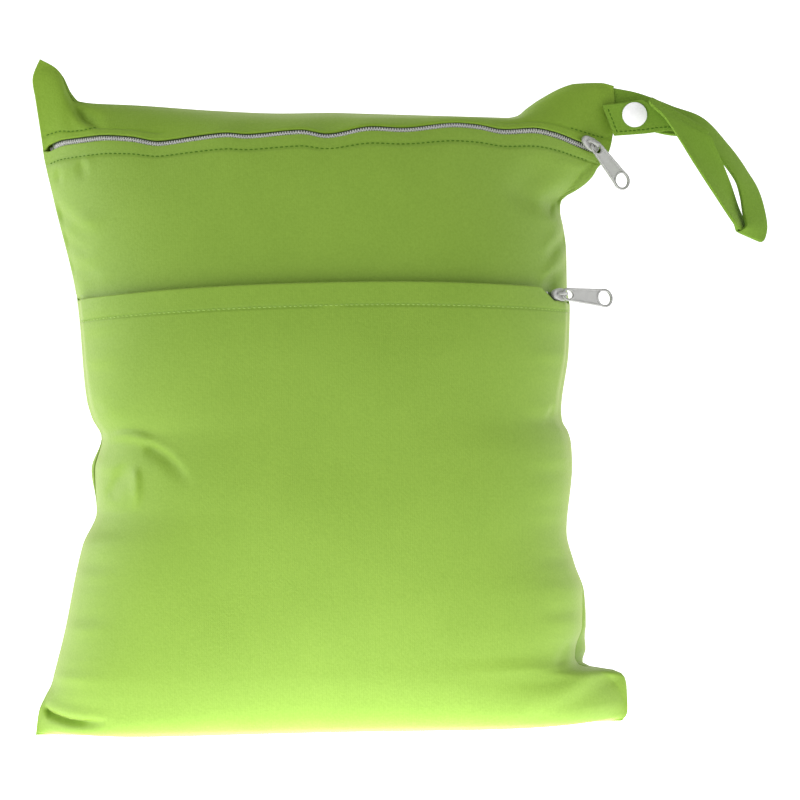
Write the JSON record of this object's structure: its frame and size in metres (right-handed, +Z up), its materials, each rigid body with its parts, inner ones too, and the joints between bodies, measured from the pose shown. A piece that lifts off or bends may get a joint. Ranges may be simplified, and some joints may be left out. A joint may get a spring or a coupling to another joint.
{
  "type": "diaper storage bag",
  "caption": "Filled zipped cloth storage bag standing upright, with a lapped zip pocket on the front, zip pulls with eyes, and a side strap that closes on itself with a press stud",
  "frame": {"origin": "on the surface the bag stands on, in the middle of its base", "axes": "+X to the right seen from the front, where the strap is; -Y out of the front with the zips; +Z up"},
  "size_m": [0.3707, 0.1114, 0.3384],
  "materials": {
    "cloth": "lime green laminated tricot knit with a slight sheen",
    "zip": "light grey nylon coil on woven tape",
    "metal": "light grey lacquered zinc",
    "snap": "white moulded resin"
  },
  "bodies": {
    "bag": {"back_panel": "cloth", "front_panel": "cloth", "pocket_panel": "cloth", "top_strip": "cloth", "main_zip_tape": "zip", "main_zip_slider": "metal", "pocket_zip_tape": "zip", "pocket_zip_slider": "metal", "strap": "cloth", "snap_cap": "snap", "snap_stud": "snap"},
    "main_pull": {"main_zip_pull": "metal"},
    "pocket_pull": {"pocket_zip_pull": "metal"}
  },
  "joints": [
    {"name": "main_pull_hinge", "type": "hinge", "parent": "bag", "child": "main_pull", "pos_m": [0.13588, -0.00779, 0.28938], "axis": [-0.62, -0.4463, -0.6453], "range_deg": [0, 150]},
    {"name": "pocket_pull_hinge", "type": "hinge", "parent": "bag", "child": "pocket_pull", "pos_m": [0.11869, -0.0219, 0.21491], "axis": [-0.0049, -0.1859, -0.9826], "range_deg": [-14, 121]}
  ]
}
